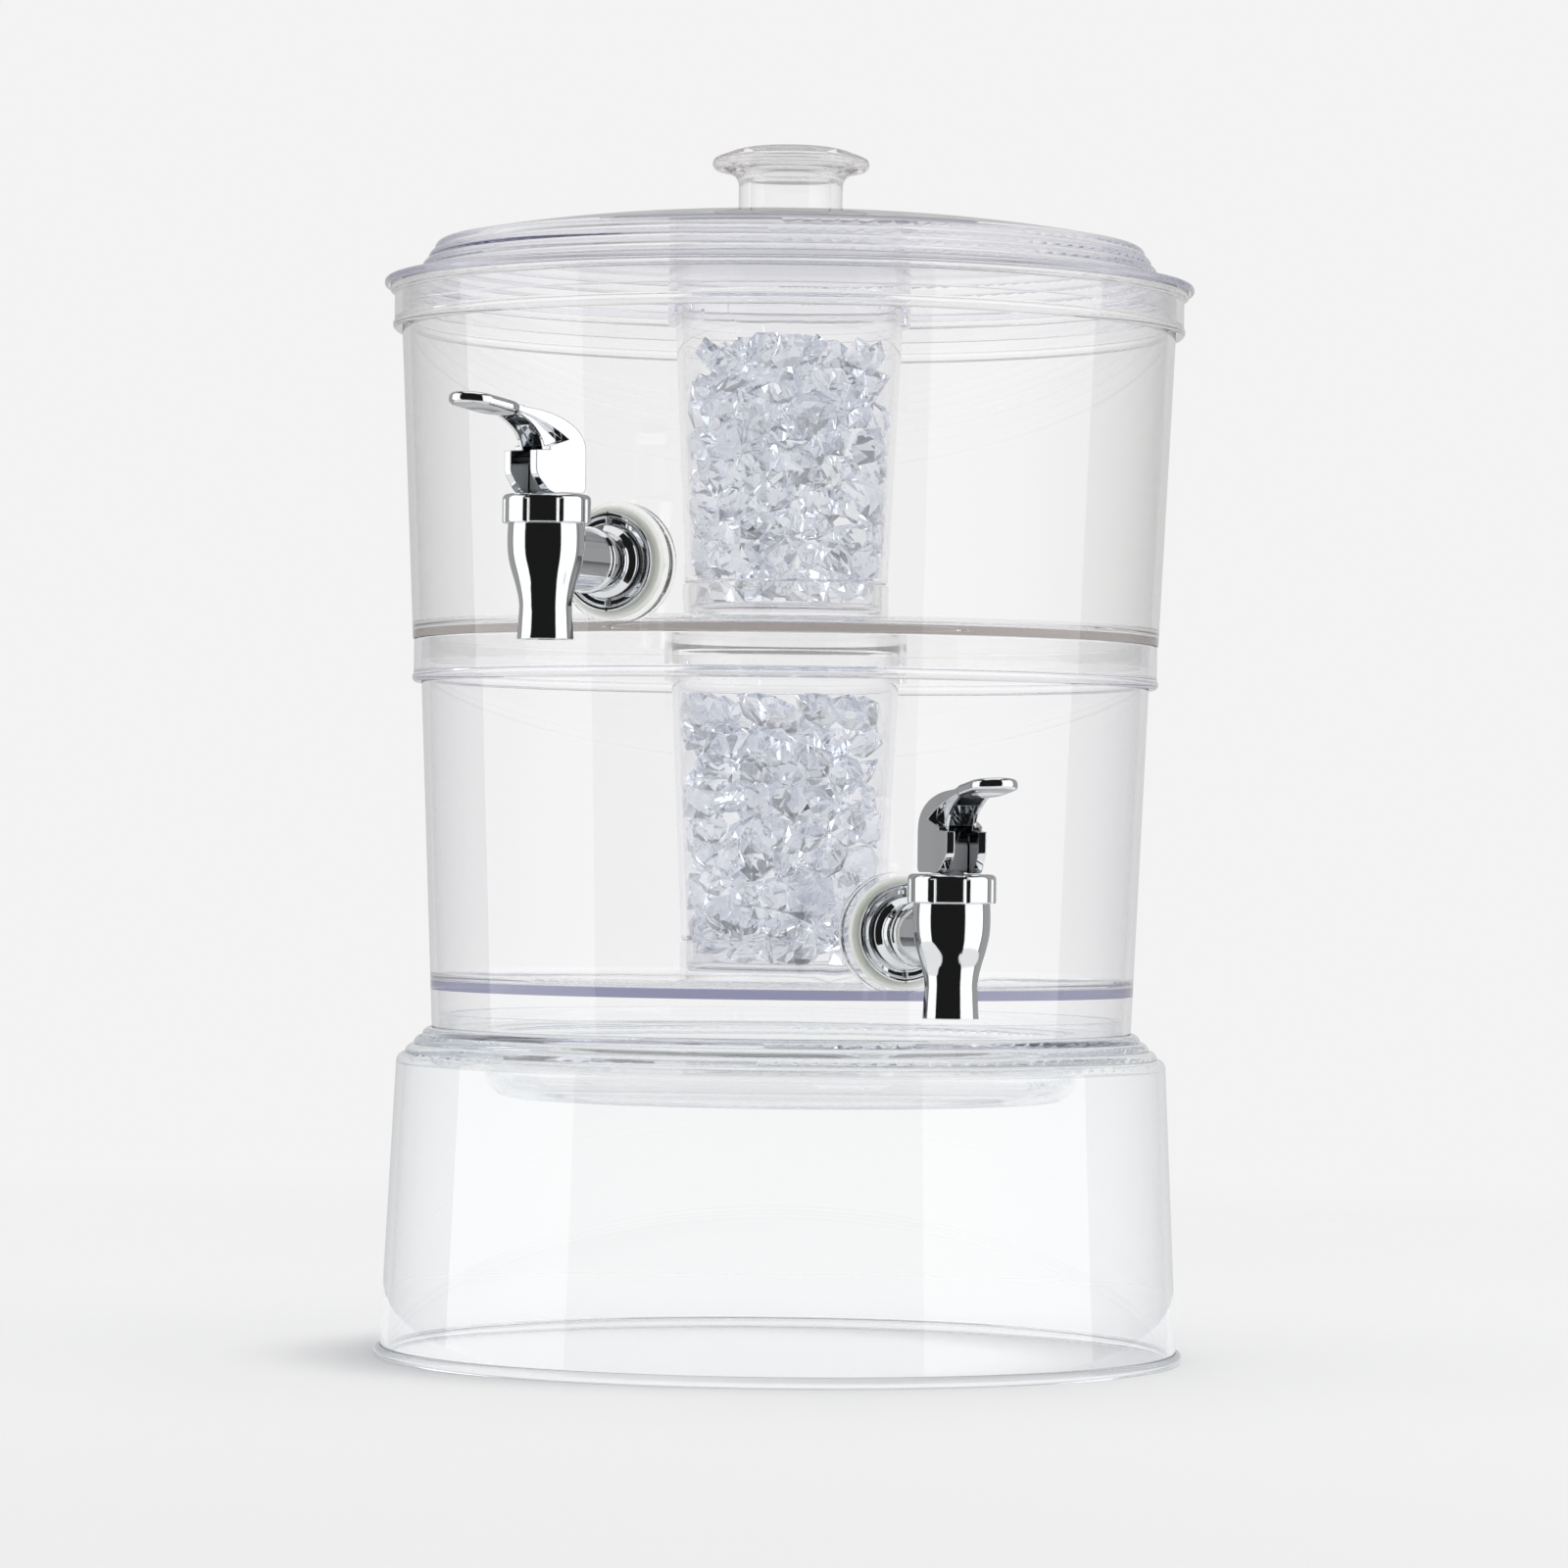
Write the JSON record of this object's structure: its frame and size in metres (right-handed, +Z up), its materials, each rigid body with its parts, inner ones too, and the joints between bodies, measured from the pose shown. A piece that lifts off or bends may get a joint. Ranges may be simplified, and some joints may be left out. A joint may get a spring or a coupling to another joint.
{
  "type": "two-tier beverage dispenser",
  "caption": "Clear tiered drink dispenser: stacked tapered tanks on a hollow base, each with a lever tap and an ice core, under a domed lid with a knob.",
  "frame": {"origin": "on the common axis of base, tanks and lid, in the plane the base stands on", "axes": "+Z up along that axis; -Y the front, midway between the two taps; +X to the right seen from the front"},
  "size_m": [0.292, 0.3598, 0.4362],
  "materials": {
    "clear_plastic": "gloss",
    "clear_core": "gloss",
    "clear_ice": "gloss",
    "plated_tap": "polished",
    "soft_washer": "satin",
    "white_nut": "satin",
    "grey_stem": "satin",
    "spring_steel": "satin"
  },
  "bodies": {
    "base": {"base_stand": "clear_plastic"},
    "lower_tank": {"lower_tank": "clear_plastic", "lower_tap_body": "plated_tap", "lower_tap_bonnet": "plated_tap", "lower_tap_bonnet_gasket": "soft_washer", "lower_tap_outer_washer": "soft_washer", "lower_tap_inner_washer": "soft_washer", "lower_tap_nut": "white_nut", "lower_tap_spring": "spring_steel"},
    "upper_tank": {"upper_tank": "clear_plastic", "upper_tap_body": "plated_tap", "upper_tap_bonnet": "plated_tap", "upper_tap_bonnet_gasket": "soft_washer", "upper_tap_outer_washer": "soft_washer", "upper_tap_inner_washer": "soft_washer", "upper_tap_nut": "white_nut", "upper_tap_spring": "spring_steel"},
    "lid": {"lid": "clear_plastic", "lid_knob": "clear_plastic"},
    "lower_core": {"lower_ice_core": "clear_core", "lower_ice_chips": "clear_ice"},
    "upper_core": {"upper_ice_core": "clear_core", "upper_ice_chips": "clear_ice"},
    "lower_plunger": {"lower_tap_seal": "soft_washer"},
    "lower_stem": {"lower_tap_stem": "grey_stem", "lower_tap_pin": "spring_steel"},
    "lower_lever": {"lower_tap_lever": "plated_tap"},
    "upper_plunger": {"upper_tap_seal": "soft_washer"},
    "upper_stem": {"upper_tap_stem": "grey_stem", "upper_tap_pin": "spring_steel"},
    "upper_lever": {"upper_tap_lever": "plated_tap"}
  },
  "joints": [
    {"name": "lower_tank_lift", "type": "slide", "parent": "base", "child": "lower_tank", "axis": [0, 0, 1], "range_m": [0, 0.06]},
    {"name": "upper_tank_lift", "type": "slide", "parent": "lower_tank", "child": "upper_tank", "axis": [0, 0, 1], "range_m": [0, 0.16]},
    {"name": "lid_lift", "type": "slide", "parent": "upper_tank", "child": "lid", "axis": [0, 0, 1], "range_m": [0, 0.16]},
    {"name": "lower_core_twist", "type": "hinge", "parent": "upper_tank", "child": "lower_core", "pos_m": [0, 0, 0.2432], "axis": [0, 0, 1], "range_deg": [0, 25]},
    {"name": "upper_core_twist", "type": "hinge", "parent": "lid", "child": "upper_core", "pos_m": [0, 0, 0.372], "axis": [0, 0, 1], "range_deg": [0, 25]},
    {"name": "lower_valve_lift", "type": "slide", "parent": "lower_tank", "child": "lower_plunger", "axis": [0, 0, 1], "range_m": [0, 0.00328], "stiffness_N_per_m": 80, "springref_m": -0.006, "deforming": ["lower_tap_spring"]},
    {"name": "lower_lever_swivel", "type": "hinge", "parent": "lower_plunger", "child": "lower_stem", "pos_m": [0.06714, -0.16617, 0.1549], "axis": [0, 0, 1], "range_deg": [-100, 100]},
    {"name": "lower_lever_press", "type": "hinge", "parent": "lower_stem", "child": "lower_lever", "pos_m": [0.06714, -0.16617, 0.18111], "axis": [0.9272, 0.3746, 0], "range_deg": [0, 40]},
    {"name": "upper_valve_lift", "type": "slide", "parent": "upper_tank", "child": "upper_plunger", "axis": [0, 0, 1], "range_m": [0, 0.00328], "stiffness_N_per_m": 80, "springref_m": -0.006, "deforming": ["upper_tap_spring"]},
    {"name": "upper_lever_swivel", "type": "hinge", "parent": "upper_plunger", "child": "upper_stem", "pos_m": [-0.07012, -0.17354, 0.2807], "axis": [0, 0, 1], "range_deg": [-100, 100]},
    {"name": "upper_lever_press", "type": "hinge", "parent": "upper_stem", "child": "upper_lever", "pos_m": [-0.07012, -0.17354, 0.30691], "axis": [0.829, -0.5592, 0], "range_deg": [0, 40]}
  ],
  "couplings": [
    {"joint": "lower_valve_lift", "follows": "lower_lever_press", "m_per_rad": 0.0047031},
    {"joint": "upper_valve_lift", "follows": "upper_lever_press", "m_per_rad": 0.0047031}
  ]
}
